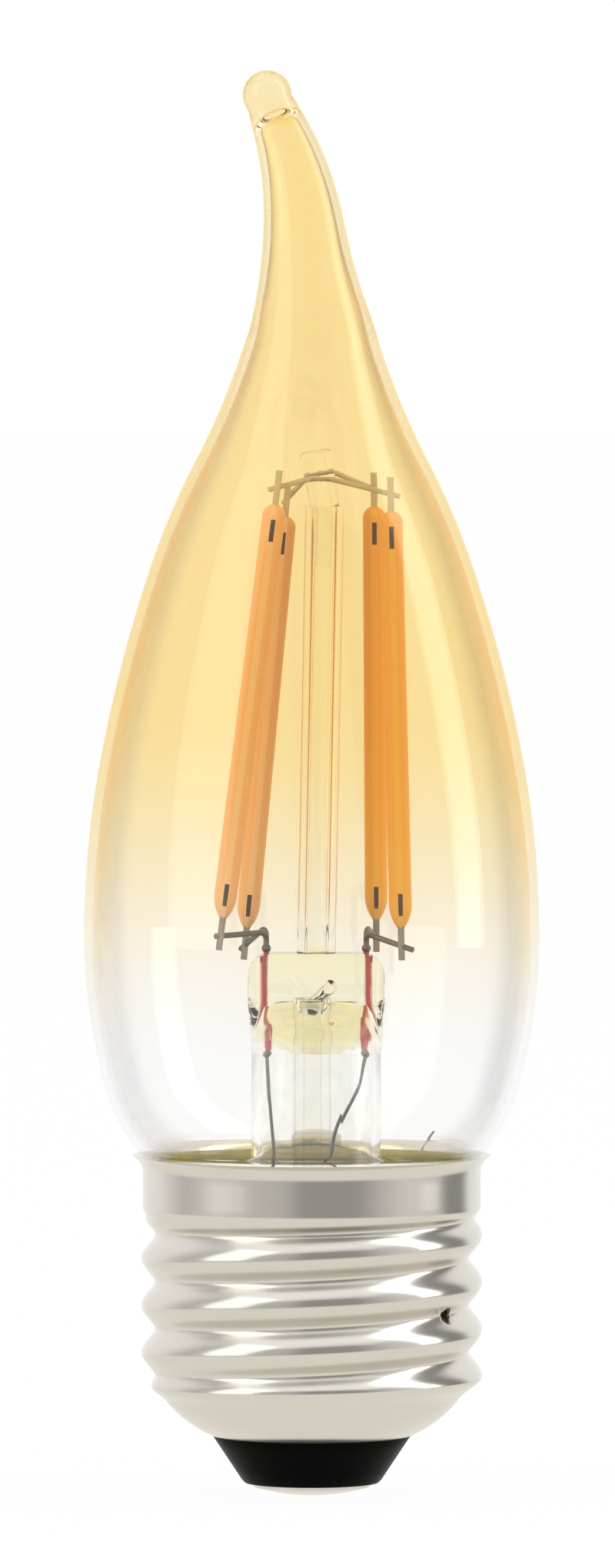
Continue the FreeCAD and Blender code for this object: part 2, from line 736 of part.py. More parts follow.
def shell_lead():
    """Thin wire from the driver up beside the neck, its end bent out over the lip."""
    gap = (NECK_RADIUS + collar_radius - SHELL_WALL) / 2
    beside = sleeve_radius - 2 * SHELL_WALL
    route = [
        (SHELL_LEAD_FOOT, 0, board_top_z),
        (SHELL_LEAD_FOOT, 0, board_top_z + 2 * WIRE_BEND),
        (beside, 0, step_z - 3 * WIRE_BEND),
        (beside, 0, step_z),
        (gap, 0, collar_z + SHELL_WALL),
        (gap, 0, lip_start_z + SHELL_WALL),
        (gap + SHELL_LEAD_END, 0, lip_z + LIP_HEIGHT / 2),
    ]
    return wire(route, SHELL_LEAD_RADIUS).rotated(Vector(), Vector(0, 0, 1), SHELL_LEAD_BEARING)


def capacitor():
    """Electrolytic can lying on the board, with a rolled crimp near its sealed end."""
    radius, crimp = CAPACITOR_RADIUS, CAPACITOR_CRIMP
    can = revolved(
        (0, 0),
        (radius, 0),
        (radius, 5 * crimp),
        (radius - crimp, 6 * crimp),
        (radius, 7 * crimp),
        (radius, CAPACITOR_LENGTH),
        (0, CAPACITOR_LENGTH),
    )
    can.rotate(Vector(), Vector(0, 1, 0), 90)
    can.translate(Vector(*CAPACITOR_PLACE, board_top_z + radius))
    return can


def driver_chip():
    """Eight-legged package on the board."""
    x, y = CHIP_CORNER
    legs_width = 3 * CHIP_LEG_PITCH + CHIP_LEG_SIZE[0]
    first = x + (CHIP_SIZE[0] - legs_width) / 2
    legs = []
    for i in range(4):
        for leg_y in (y - CHIP_LEG_SIZE[1], y + CHIP_SIZE[1]):
            corner = Vector(first + i * CHIP_LEG_PITCH, leg_y, board_top_z)
            legs.append(Part.makeBox(*CHIP_LEG_SIZE, corner))
    return Part.makeBox(*CHIP_SIZE, Vector(x, y, board_top_z)).fuse(legs)


def fusible_resistor():
    """Resistor in the funnel, wired from the board down into the centre contact's rivet."""
    middle = sleeve_z - RESISTOR_RADIUS - RESISTOR_DROP
    half, radius = RESISTOR_LENGTH / 2, RESISTOR_WIRE_RADIUS
    reach = half + RESISTOR_WIRE_REACH
    barrel = bar((-half, 0, middle), (half, 0, middle), RESISTOR_RADIUS)
    up = wire([(half, 0, middle), (reach, 0, middle), (reach, 0, board_top_z)], radius)
    down = wire(
        [
            (-half, 0, middle),
            (-reach, 0, middle),
            (-half, 0, middle - RESISTOR_WIRE_REACH),
            (0, 0, shank_top_z + WIRE_BEND),
            (0, 0, insulator_face_z),
        ],
        radius,
        RESISTOR_WIRE_REACH / 3,
    )
    return barrel.fuse([up, down])


def driver():
    """Board resting on the insulator's ledge, and its components."""
    resistor = fusible_resistor()
    board = upright(board_radius, sleeve_z, board_top_z).cut(resistor)
    rectifier = Part.makeBox(*RECTIFIER_SIZE, Vector(*RECTIFIER_CORNER, board_top_z))
    return {
        "driver_board": largest(board),
        "bridge_rectifier": rectifier,
        "driver_chip": driver_chip(),
        "smoothing_capacitor": capacitor(),
        "fusible_resistor": resistor,
    }


def build():
    """Every node's solid by name."""
    shapes = {
        "screw_shell": screw_shell(),
        "base_insulator": base_insulator(),
        "centre_contact": centre_contact(),
        "glass_envelope": glass_envelope(),
        "stem": stem(),
        "exhaust_tube": exhaust_tube(),
        "stem_column": stem_column(),
    }
    shapes["shell_lead"] = largest(shell_lead().cut(shapes["screw_shell"]))
    neighbours = [shapes[name] for name in ("screw_shell", "glass_envelope", "shell_lead")]
    shapes["basing_cement"] = basing_cement(neighbours)
    for name, (foot, head) in FILAMENTS.items():
        for piece, shape in filament(foot, head).items():
            shapes[f"{name}_{piece}"] = shape
    shapes.update(seal_wires())
    shapes.update(outer_leads())
    shapes.update(inner_leads(shapes))
    supports = support_wires(shapes)
    shapes["column_bead"] = column_bead().cut(list(supports.values()))
    shapes.update(supports)
    shapes.update(driver())
    return shapes


def main():
    """Write each node's solid to its own file, and name any that is not one valid solid."""
    os.makedirs("parts", exist_ok=True)
    for name, shape in build().items():
        if len(shape.Solids) != 1 or not shape.isValid():
            print(name, "has", len(shape.Solids), "solids, valid", shape.isValid())
        shape.Solids[0].exportStep(f"parts/{name}.step")


main()
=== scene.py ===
import json
import math

import bpy
import numpy as np
from bpy.props import FloatProperty, FloatVectorProperty, PointerProperty
from bpy.types import Operator, Panel, PropertyGroup
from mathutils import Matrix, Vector


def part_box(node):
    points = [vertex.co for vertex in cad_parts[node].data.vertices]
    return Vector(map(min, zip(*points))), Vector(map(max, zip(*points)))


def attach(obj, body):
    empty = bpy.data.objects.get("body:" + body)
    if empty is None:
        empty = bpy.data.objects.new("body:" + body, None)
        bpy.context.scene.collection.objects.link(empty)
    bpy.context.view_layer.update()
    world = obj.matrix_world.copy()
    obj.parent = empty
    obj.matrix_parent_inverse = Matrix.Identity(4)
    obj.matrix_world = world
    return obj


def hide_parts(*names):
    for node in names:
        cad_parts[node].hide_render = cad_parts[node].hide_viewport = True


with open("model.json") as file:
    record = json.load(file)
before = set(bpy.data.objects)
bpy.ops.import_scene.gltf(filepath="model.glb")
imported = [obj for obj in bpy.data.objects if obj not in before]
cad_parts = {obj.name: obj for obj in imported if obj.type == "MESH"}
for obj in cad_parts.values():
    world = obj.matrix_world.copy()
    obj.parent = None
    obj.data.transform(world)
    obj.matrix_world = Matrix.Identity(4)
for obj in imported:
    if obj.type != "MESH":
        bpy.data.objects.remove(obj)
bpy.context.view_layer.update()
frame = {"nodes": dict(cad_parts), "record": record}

bl_info = {
    "name": "Candle Lamp",
    "version": (1, 0, 0),
    "blender": (4, 5, 0),
    "location": "3D View > Sidebar > Candle Lamp",
    "description": "Dresses a bent-tip candle lamp: blown glass, screw cap, stem and filament sticks",
    "category": "Object",
}

MM = 0.001
COLUMNS = 240
STICK_COLUMNS = 48
FINE_STEP = 0.1 * MM
NECK_STEP = 0.5 * MM
COARSE_STEP = 0.4 * MM
BODY_ARC_POINTS = 12
TIP_ROWS = 60
MERGE_DISTANCE = 0.0005 * MM
SHARP_ANGLE = 40.0
WIRE_SHARP_ANGLE = 60.0
STICKS = ("front_left", "back_left", "back_right", "front_right")
WIRES = [f"{stick}_inner_lead" for stick in STICKS]
WIRES += ["left_outer_lead", "right_outer_lead", "front_support_wire", "back_support_wire", "shell_lead"]

# Places read from the frame: the cap's edge and lip, and the neck's lower end
shell_low, shell_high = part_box("screw_shell")
glass_low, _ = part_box("glass_envelope")
collar = next(m for m in frame["record"]["mounts"] if m["name"] == "cap_collar")

# Slope of the body's outline, in degrees, at heights in mm above the lip's foot
OUTLINE_SLOPES = (
    (1.3, -52.0),
    (1.9, -38.0),
    (3.88, -27.2),
    (6.25, -16.4),
    (10.97, -9.6),
    (18.1, 0.0),
    (32.3, 11.0),
    (46.4, 18.4),
    (54.7, 27.5),
    (63.6, 17.8),
)
# Bent tip: sideways place, height above the body's end and radius of each section, in mm
TIP_SECTIONS = (
    (-0.12, 2.6, 4.42),
    (-0.40, 6.5, 3.5),
    (-0.78, 10.6, 2.93),
    (-1.45, 13.9, 2.5),
    (-2.35, 16.5, 2.12),
    (-3.2, 18.6, 1.78),
)

# How the bent tip ends: sideways and in radius, per unit of height
TIP_END_LEAN, TIP_END_TAPER = -0.42, -0.16
# The sheet's lower edge: how far out and up its rounded corner ends, and the inside corner's rise per wall
EDGE_OUT, EDGE_UP, EDGE_WALL_SHARE = 0.55 * MM, 0.26 * MM, 0.9
# Height of the shoulder's middle point, as a share of the shoulder's height
SHOULDER_MIDDLE_SHARE = 0.55
# Inner and outer ends of the bar that pierces the vent, as shares of the crest's radius
VENT_BAR_ENDS = (0.8, 1.1)
VENT_CORNERS = 32
# Power of the pointed stick end's wave, under 1 is blunt
STICK_POINT_FULLNESS = 0.8
# Rows of a stick's pointed end, middle and domed end
STICK_ROWS = (24, 20, 16)

# Grey of the surroundings in reflections, by bearing in degrees from the viewer's side, + to the right
REFLECTED_LEVELS = (
    (-180, 1.0),
    (-125, 0.95),
    (-95, 0.58),
    (-65, 0.78),
    (-40, 0.6),
    (-18, 0.55),
    (-6, 0.35),
    (30, 0.35),
    (48, 0.58),
    (66, 0.76),
    (92, 0.7),
    (104, 0.28),
    (122, 0.28),
    (134, 0.95),
    (180, 1.0),
)
# Share of the way up at which the surroundings start to turn white overhead, and end
OVERHEAD_BAND = (0.68, 0.96)
# Squares of the distances in metres between which the floor's reflection changes
FLOOR_CHANGE = (0.003, 0.012)

GLASS_IOR = 1.5
# What a wall lets through of the lamps' light, by its tint
AMBER_SHADE, CLEAR_SHADE = (0.97, 0.94, 0.86), (0.97, 0.97, 0.94)
# How far a wall faces away where its rim's look begins, and where it is full
AMBER_RIM, TUBE_RIM, TUBE_GLOSS = (0.42, 0.84), (0.72, 0.96), (0.35, 1.0)
TUBE_GLOSS_SHARE = 0.35
RIPPLE_EDGE = 1.6 * MM
GRAIN_DEPTH = 0.05 * MM
# Width of the painted highlight down the middle of a coating's front, in widths of a tab's mark
PAINTED_HIGHLIGHT_WIDTHS = 1.4
# How far noise takes the floor's colour and a coating's
FLOOR_PALER, COAT_DEEPER = 1.02, 0.95
WHITE = (1.0, 1.0, 1.0)
# Cast of the grey levels round about
WARM_GREY = (1.0, 0.99, 0.98)

# Each lamp's name, its place and its width and height in metres, and the value that holds its power
SOFTBOXES = (
    ("left lamp", (-0.55, -0.30, 0.30), (0.42, 1.0), "left_power"),
    ("right lamp", (0.58, -0.02, 0.34), (0.22, 1.1), "right_power"),
    ("top lamp", (0.0, -0.15, 0.85), (1.2, 1.0), "top_power"),
)


def length(name, description, default):
    """A size in metres, given here in mm."""
    return FloatProperty(
        name=name,
        description=description,
        default=default * MM,
        unit="LENGTH",
        subtype="DISTANCE",
        precision=5,
    )


def factor(name, description, default):
    """A part of 1."""
    return FloatProperty(name=name, description=description, default=default, subtype="FACTOR")


def angle(name, description, default):
    """An angle, given here in degrees."""
    return FloatProperty(
        name=name, description=description, default=math.radians(default), subtype="ANGLE"
    )


def watts(name, description, default):
    """A lamp's power in watts."""
    return FloatProperty(name=name, description=description, default=default, unit="POWER")


def colour(name, description, default):
    """A linear colour."""
    return FloatVectorProperty(
        name=name, description=description, default=default, size=3, min=0.0, max=1.0, subtype="COLOR"
    )


class GlassLook(PropertyGroup):
    neck_radius: length("Neck radius", "Outside of the envelope's neck inside the cap", 12.37)
    wall: length("Wall", "Thickness of the blown body", 0.7)
    tip_wall: length("Tip wall", "Thickness of the drawn tip", 0.55)
    bead_radius: length("Bead radius", "Solid bead that closes the tip", 1.87)
    bead_rise: length("Bead rise", "Bead's middle above the last section", 0.65)
    bead_drift: length("Bead drift", "Bead's middle beside the last section", -0.22)
    clear_below: length("Clear below", "Height at which the tint has faded out", 32.0)
    amber_above: length("Amber above", "Height at which the tint is full", 62.0)
    amber: colour("Amber", "Tint of one wall where it is full", (0.99, 0.86, 0.545))
    clear: colour("Clear", "Tint of one wall near the cap", (0.985, 0.985, 0.985))
    bead_tint: colour("Bead tint", "Tint of the solid bead, deeper than one wall", (0.975, 0.81, 0.45))
    bead_start: length("Bead start", "Height where the hollow tip ends", 105.2)
    rim_share: factor("Rim share", "Part of the tint that shows at a wall's rim", 0.8)
    stem_tint: colour("Stem tint", "Faint cast of the stem's tubes", (0.992, 0.992, 0.972))
    tube_rim: colour("Tube rim", "Exhaust tube towards its rim", (0.62, 0.62, 0.58))
    press_tint: colour("Press tint", "Yellower cast of the thick press", (0.965, 0.94, 0.74))
    press_low: length("Press low", "Height where the pinch starts", 34.6)
    press_high: length("Press high", "Top of the press", 42.6)
    ripple_low: length("Ripple low", "Lower end of the rippled fold", 34.6)
    ripple_high: length("Ripple high", "Upper end of the rippled fold", 38.6)


class CapLook(PropertyGroup):
    wall: length("Wall", "Thickness of the plated sheet", 0.28)
    sleeve_radius: length("Sleeve radius", "Radius at the bottom of the thread's grooves", 12.05)
    thread_height: length("Thread height", "Height of the rolled thread", 1.05)
    thread_pitch: length("Thread pitch", "Rise of the thread in one turn", 25.4 / 7)
    crest_fullness: factor("Crest fullness", "Power of the wave, under 1 is full", 0.75)
    first_crest: length("First crest", "Height of the lowest full crest, on the right", 9.19)
    sleeve_start: length("Sleeve start", "Height where the shoulder ends", 8.5)
    step_start: length("Step start", "Height where the sleeve widens to the collar", 20.7)
    step_height: length("Step height", "Height of the widening", 1.6)
    shoulder_bulge: length("Shoulder bulge", "How far the shoulder's middle lies inside the sleeve", 1.3)
    edge_radius: length("Edge radius", "Inner radius of the sheet's lower edge", 7.65)
    vent_radius: length("Vent radius", "Small hole in a groove", 0.65)
    vent_height: length("Vent height", "Height of the small hole", 14.3)
    vent_bearing: angle("Vent bearing", "Direction of the small hole", -32)
    worn: factor("Worn", "Brightness of the handling marks beside the plating", 0.93)
    nickel: colour("Nickel", "Plated sheet", (0.76, 0.73, 0.665))
    insulator: colour("Insulator", "Black moulded cone", (0.002, 0.002, 0.002))
    cement: colour("Cement", "Basing cement", (0.82, 0.70, 0.05))


class FilamentLook(PropertyGroup):
    radius: length("Radius", "Coating's radius", 0.88)
    taper: length("Taper", "Length of the pointed lower end", 2.1)
    mark_width: length("Mark width", "Width of a tab's end under the coating", 0.36)
    mark_length: length("Mark length", "Length of a tab's end under the coating", 1.7)
    mark_inset: length("Mark inset", "From the coating's end to the mark", 1.2)
    phosphor_left: colour("Phosphor, left", "Orange coating of the left pair", (1.0, 0.53, 0.2))
    # The stripe colours below are a painted highlight down the middle of each coating's front
    stripe_left: colour("Stripe, left", "Paler middle of the left pair", (1.0, 0.63, 0.34))
    phosphor_right: colour("Phosphor, right", "Deeper coating of the right pair", (1.0, 0.45, 0.008))
    stripe_right: colour("Stripe, right", "Middle of the right pair", (1.0, 0.52, 0.03))
    mark: colour("Mark", "Tab's end seen through the coating", (0.03, 0.015, 0.008))
    strip: colour("Strip", "Carrier strip", (0.85, 0.8, 0.7))
    tab: colour("Tab", "Stamped tab", (0.36, 0.32, 0.27))
    wire: colour("Wire", "Dark nickel wire", (0.19, 0.17, 0.15))
    support: colour("Support", "Paler wires and tabs at the top", (0.72, 0.62, 0.43))
    seal: colour("Seal", "Red oxidised wire in the press", (0.80, 0.01, 0.012))


class DriverLook(PropertyGroup):
    board: colour("Board", "Circuit board", (0.86, 0.86, 0.8))
    chip: colour("Chip", "Moulded packages", (0.14, 0.14, 0.14))
    can: colour("Can", "Capacitor's sleeve", (0.42, 0.43, 0.46))
    resistor: colour("Resistor", "Resistor's coat", (0.16, 0.27, 0.2))


class StageLook(PropertyGroup):
    floor_size: FloatProperty(name="Floor size", description="Side of the floor", default=8.0, unit="LENGTH")
    view_height: length("View height", "Height of the picture at the lamp's axis", 120.6)
    aim_height: length("Aim height", "Height that the camera looks at", 54.8)
    aim_side: length("Aim side", "Sideways place that the camera looks at", -0.325)
    elevation: angle("Elevation", "Camera above level", 2.5)
    lens: FloatProperty(name="Lens", description="Focal length in mm", default=350.0)
    left_power: watts("Left power", "Power of the left lamp", 1.0)
    right_power: watts("Right power", "Power of the right lamp", 1.2)
    top_power: watts("Top power", "Power of the upper lamp", 0.8)
    floor_colour: colour("Floor colour", "Plain pale floor", (0.93, 0.93, 0.93))
    floor_near: colour("Floor near", "Floor near the lamp, as metal and glass show it", (0.9, 0.88, 0.82))
    floor_white: factor("Floor white", "Share of plain white where seen directly", 0.96)
    overhead: colour("Overhead", "Surroundings overhead, as metal and glass show them", (0.88, 0.88, 0.87))
    fill: colour("Fill", "Surroundings as they light the lamp", (0.86, 0.86, 0.86))


# Curves and profiles


def arc(start, through, end, count):
    """Points of the circle through three points, at equal angles from the first to the last.

    The middle is where the chords' perpendicular bisectors meet.
    """
    a, b, c = (np.array(point, float) for point in (start, through, end))
    chords = np.array([b - a, c - a]) * 2
    middle = np.linalg.solve(chords, [b @ b - a @ a, c @ c - a @ a])
    angles = [math.atan2(*(point - middle)[::-1]) for point in (a, b, c)]
    turned = np.unwrap(angles)
    spread = np.linspace(turned[0], turned[2], count)
    radius = np.linalg.norm(a - middle)
    return middle + radius * np.stack([np.cos(spread), np.sin(spread)], axis=1)


def straight(start, end, step):
    """Points from start to end, about a step apart."""
    start, end = np.array(start, float), np.array(end, float)
    count = max(2, int(np.linalg.norm(end - start) / step) + 1)
    share = np.linspace(0, 1, count)[:, None]
    return start + (end - start) * share


def swelling(start, end, step):
    """Points from start to end whose radius follows the smooth share of the height."""
    points = straight(start, end, step)
    share = smooth((points[:, 1] - start[1]) / (end[1] - start[1]))
    return np.stack([start[0] + (end[0] - start[0]) * share, points[:, 1]], axis=1)


def smooth(share):
    """0 below 0, 1 above 1 and 3 s² - 2 s³ between."""
    share = np.clip(share, 0, 1)
    return share**2 * (3 - 2 * share)


def spline(knots, values, first_slope, last_slope):
    """A function of height made of cubic pieces through the knots, with even curvature where they meet.

    The knots' slopes solve one linear system, with the first and last slope given.
    """
    knots, values = np.array(knots, float), np.array(values, float)
    gaps = np.diff(knots)
    grades = np.diff(values) / gaps
    system, known = np.eye(len(knots)), np.zeros(len(knots))
    known[0], known[-1] = first_slope, last_slope
    for i in range(1, len(knots) - 1):
        system[i, i - 1 : i + 2] = gaps[i], 2 * (gaps[i - 1] + gaps[i]), gaps[i - 1]
        known[i] = 3 * (gaps[i] * grades[i - 1] + gaps[i - 1] * grades[i])
    slopes = np.linalg.solve(system, known)

    def value(height):
        piece = np.clip(np.searchsorted(knots, height) - 1, 0, len(gaps) - 1)
        gap = gaps[piece]
        t = (height - knots[piece]) / gap
        rise = values[piece] * (1 + 2 * t) * (1 - t) ** 2 + values[piece + 1] * t**2 * (3 - 2 * t)
        return rise + gap * (slopes[piece] * t * (1 - t) ** 2 + slopes[piece + 1] * t**2 * (t - 1))

    return value


# Surfaces


def turns(count):
    """Angles once round, without the last, which is the first again."""
    return np.linspace(0, 2 * np.pi, count, endpoint=False)


def rings(centres, radii, tilts, count=COLUMNS):
    """A grid of circles: each about its centre in the XZ plane, turned about Y by its tilt.

    A point at angle f is centre + radius (cos f (cos tilt, 0, -sin tilt) + sin f (0, 1, 0)).
    """
    around = turns(count)
    cosines, sines = np.cos(around), np.sin(around)
    reach = radii[:, None] * cosines
    x = centres[:, 0, None] + reach * np.cos(tilts)[:, None]
    z = centres[:, 1, None] - reach * np.sin(tilts)[:, None]
    y = radii[:, None] * sines
    return np.stack([x, y, z], axis=2)


def lathe(profile, count=COLUMNS):
    """A grid of level circles about the axis, one for each (radius, height) of the profile."""
    centres = np.stack([np.zeros(len(profile)), profile[:, 1]], axis=1)
    return rings(centres, profile[:, 0], np.zeros(len(profile)), count)


def enclosed(points, faces):
    """Six times the volume inside triangles: the sum of a . (b x c)."""
    a, b, c = (points[faces[:, i]] for i in range(3))
    return np.einsum("ij,ij->", a, np.cross(b, c))


def skin(name, grid, closed=False, uv=None):
    """A closed mesh over a grid: rows along a profile, columns round it.

    Closed, the last row joins the first. Otherwise the first and last rows shrink to one point each.
    Faces are quads between neighbouring rows and columns, turned outwards by the enclosed volume's sign.
    """
    rows, columns = grid.shape[:2]
    index = np.arange(rows * columns).reshape(rows, columns)
    points = grid.reshape(-1, 3)
    after = np.roll(index, -1, axis=1)
    if closed:
        upper, upper_after = np.roll(index, -1, axis=0), np.roll(after, -1, axis=0)
        quads = np.stack([index, after, upper_after, upper], axis=2).reshape(-1, 4)
        fans = np.zeros((0, 3), int)
    else:
        body, body_after = index[1:-1], after[1:-1]
        quads = np.stack([body[:-1], body_after[:-1], body_after[1:], body[1:]], axis=2).reshape(-1, 4)
        first, last = index[0, 0], index[-1, 0]
        low = np.stack([np.full(columns, first), body_after[0], body[0]], axis=1)
        high = np.stack([np.full(columns, last), body[-1], body_after[-1]], axis=1)
        fans = np.concatenate([low, high])
    triangles = np.concatenate([quads[:, :3], quads[:, [0, 2, 3]], fans])
    if enclosed(points, triangles) < 0:
        quads, fans = quads[:, ::-1], fans[:, ::-1]
    used = np.unique(np.concatenate([quads.ravel(), fans.ravel()]))
    renumber = np.zeros(len(points), int)
    renumber[used] = np.arange(len(used))
    mesh = bpy.data.meshes.new(name)
    mesh.from_pydata(points[used].tolist(), [], renumber[quads].tolist() + renumber[fans].tolist())
    if uv is not None:
        spread_uv(mesh, uv.reshape(-1, 2)[used])
    return shown(name, mesh)


def spread_uv(mesh, places):
    """Each corner of a face takes its vertex's place.

    Across the seam the first column counts as one whole turn.
    """
    loops = np.zeros(len(mesh.loops), int)
    mesh.loops.foreach_get("vertex_index", loops)
    corners = places[loops]
    starts, sizes = (np.zeros(len(mesh.polygons), int) for _ in range(2))
    mesh.polygons.foreach_get("loop_start", starts)
    mesh.polygons.foreach_get("loop_total", sizes)
    owner = np.repeat(np.arange(len(starts)), sizes)
    highest = np.maximum.reduceat(corners[:, 0], starts)
    seam = (highest[owner] - corners[:, 0]) > 0.5
    corners[seam, 0] += 1
    layer = mesh.uv_layers.new(name="along")
    layer.data.foreach_set("uv", corners.ravel())


def shown(name, mesh, sharp=SHARP_ANGLE):
    """An object in the scene with smooth faces and sharp edges past an angle."""
    mesh.validate()
    mesh.shade_smooth()
    mesh.set_sharp_from_angle(angle=math.radians(sharp))
    piece = bpy.data.objects.new(name, mesh)
    bpy.context.scene.collection.objects.link(piece)
    return piece


def smoothed(node, material, sharp=SHARP_ANGLE):
    """A copy of a CAD node with its doubles merged and its faces smooth, standing for the node."""
    source = frame["nodes"][node].data
    triangles = np.zeros(len(source.loops), int)
    source.loops.foreach_get("vertex_index", triangles)
    points = np.zeros(len(source.vertices) * 3)
    source.vertices.foreach_get("co", points)
    points = points.reshape(-1, 3)
    rounded = np.round(points / MERGE_DISTANCE).astype(np.int64)
    _, first, same = np.unique(rounded, axis=0, return_index=True, return_inverse=True)
    faces = same.reshape(-1)[triangles].reshape(-1, 3)
    distinct = (faces[:, 0] != faces[:, 1]) & (faces[:, 1] != faces[:, 2]) & (faces[:, 2] != faces[:, 0])
    mesh = bpy.data.meshes.new(f"{node}_smooth")
    mesh.from_pydata(points[first].tolist(), [], faces[distinct].tolist())
    piece = shown(f"{node}_smooth", mesh, sharp)
    place(piece, node, material)
    return piece


def place(piece, node, material):
    """Give a piece its material, let it ride on the lamp and stand for a CAD node."""
    piece.data.materials.clear()
    piece.data.materials.append(material)
    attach(piece, "root")
    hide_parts(node)


# Materials


def new_material(name):
    """A material with only its output and a plain shader, and its node tree."""
    material = bpy.data.materials.new(name)
    material.use_nodes = True
    return material, material.node_tree, material.node_tree.nodes["Principled BSDF"]


def blend_colours(tree, share, first, second):
    """A Mix node between two colours, each a socket or a value.

    A colour Mix node's A and B are its inputs 6 and 7, and its result is output 2.
    """
    mix = tree.nodes.new("ShaderNodeMix")
    mix.data_type = "RGBA"
    tree.links.new(share, mix.inputs["Factor"])
    for socket, value in ((mix.inputs[6], first), (mix.inputs[7], second)):
        if isinstance(value, bpy.types.NodeSocket):
            tree.links.new(value, socket)
        else:
            socket.default_value = (*value, 1)
    return mix.outputs[2]


def noise(tree, scale, detail=3.0):
    """Noise over the piece's own coordinates."""
    place_node = tree.nodes.new("ShaderNodeTexCoord")
    texture = tree.nodes.new("ShaderNodeTexNoise")
    texture.inputs["Scale"].default_value = scale
    texture.inputs["Detail"].default_value = detail
    tree.links.new(place_node.outputs["Object"], texture.inputs["Vector"])
    return texture.outputs["Fac"]


def bumped(tree, shader, height, strength, depth):
    """Small unevenness on a shader's normal."""
    bump = tree.nodes.new("ShaderNodeBump")
    bump.inputs["Strength"].default_value = strength
    bump.inputs["Distance"].default_value = depth
    tree.links.new(height, bump.inputs["Height"])
    tree.links.new(bump.outputs["Normal"], shader.inputs["Normal"])


def mixed(tree, share, first, second):
    """A mix of two shaders' outputs by a share."""
    mix = tree.nodes.new("ShaderNodeMixShader")
    tree.links.new(share, mix.inputs["Fac"])
    tree.links.new(first, mix.inputs[1])
    tree.links.new(second, mix.inputs[2])
    return mix.outputs["Shader"]


def light_through(tree, surface, tint):
    """Light passes on through glass to what is inside: a see-through shader for shadow rays alone."""
    path = tree.nodes.new("ShaderNodeLightPath")
    clear = tree.nodes.new("ShaderNodeBsdfTransparent")
    clear.inputs["Color"].default_value = (*tint, 1)
    lit = mixed(tree, path.outputs["Is Shadow Ray"], surface, clear.outputs["BSDF"])
    tree.links.new(lit, tree.nodes["Material Output"].inputs["Surface"])


def combine(tree, operation, first, second):
    """The result of a Math node on two values."""
    node = tree.nodes.new("ShaderNodeMath")
    node.operation = operation
    tree.links.new(first, node.inputs[0])
    tree.links.new(second, node.inputs[1])
    return node.outputs["Value"]


def scaled(tree, value, times):
    """A value times a number."""
    node = tree.nodes.new("ShaderNodeMath")
    node.operation = "MULTIPLY"
    node.inputs[1].default_value = times
    tree.links.new(value, node.inputs[0])
    return node.outputs["Value"]


def mapped(tree, value, low, high, kind="LINEAR"):
    """A value's share of the way from low to high."""
    node = tree.nodes.new("ShaderNodeMapRange")
    node.interpolation_type = kind
    node.inputs["From Min"].default_value = low
    node.inputs["From Max"].default_value = high
    tree.links.new(value, node.inputs["Value"])
    return node.outputs["Result"]


def band(tree, value, low, high, edge):
    """1 between low and high and 0 outside, smooth over an edge's width at each end."""
    risen = mapped(tree, value, low, low + edge, "SMOOTHSTEP")
    fallen = mapped(tree, value, high, high - edge, "SMOOTHSTEP")
    return combine(tree, "MULTIPLY", risen, fallen)


def within(tree, value, middle, half):
    """1 where a value is nearer to the middle than half a width, otherwise 0."""
    compare = tree.nodes.new("ShaderNodeMath")
    compare.operation = "COMPARE"
    compare.inputs[1].default_value = middle
    compare.inputs[2].default_value = half
    tree.links.new(value, compare.inputs[0])
    return compare.outputs["Value"]


def parted(tree, output):
    """X, Y and Z of a texture coordinate."""
    coordinates = tree.nodes.new("ShaderNodeTexCoord")
    split = tree.nodes.new("ShaderNodeSeparateXYZ")
    tree.links.new(coordinates.outputs[output], split.inputs["Vector"])
    return split.outputs["X"], split.outputs["Y"], split.outputs["Z"]


def ray_kinds(tree):
    """1 for camera and transmission rays, and 1 for glossy rays."""
    path = tree.nodes.new("ShaderNodeLightPath")
    direct = combine(tree, "MAXIMUM", path.outputs["Is Camera Ray"], path.outputs["Is Transmission Ray"])
    return direct, path.outputs["Is Glossy Ray"]


def ramp_of(tree, share, stops):
    """A grey ramp through stops of place and level."""
    ramp = tree.nodes.new("ShaderNodeValToRGB")
    tree.links.new(share, ramp.inputs["Fac"])
    elements = ramp.color_ramp.elements
    for place_share, _ in stops[2:]:
        elements.new(place_share)
    for element, (place_share, level) in zip(elements, stops):
        element.position = place_share
        element.color = (*(level * channel for channel in WARM_GREY), 1)
    return ramp.outputs["Color"]


def plain_finish(name, base, roughness, metallic=0.0, grain=900.0, uneven=0.15, bump=0.0, gloss=0.5):
    """A solid finish: its colour varies a little with noise, and so may its surface."""
    material, tree, shader = new_material(name)
    shade = noise(tree, grain)
    dark = [channel * (1 - uneven) for channel in base]
    tree.links.new(blend_colours(tree, shade, dark, base), shader.inputs["Base Color"])
    shader.inputs["Roughness"].default_value = roughness
    shader.inputs["Metallic"].default_value = metallic
    shader.inputs["Specular IOR Level"].default_value = gloss
    if bump:
        bumped(tree, shader, shade, bump, GRAIN_DEPTH)
    return material


def clear_body(shader):
    """Make a plain shader clear glass."""
    shader.inputs["Roughness"].default_value = 0.0
    shader.inputs["IOR"].default_value = GLASS_IOR
    shader.inputs["Transmission Weight"].default_value = 1.0


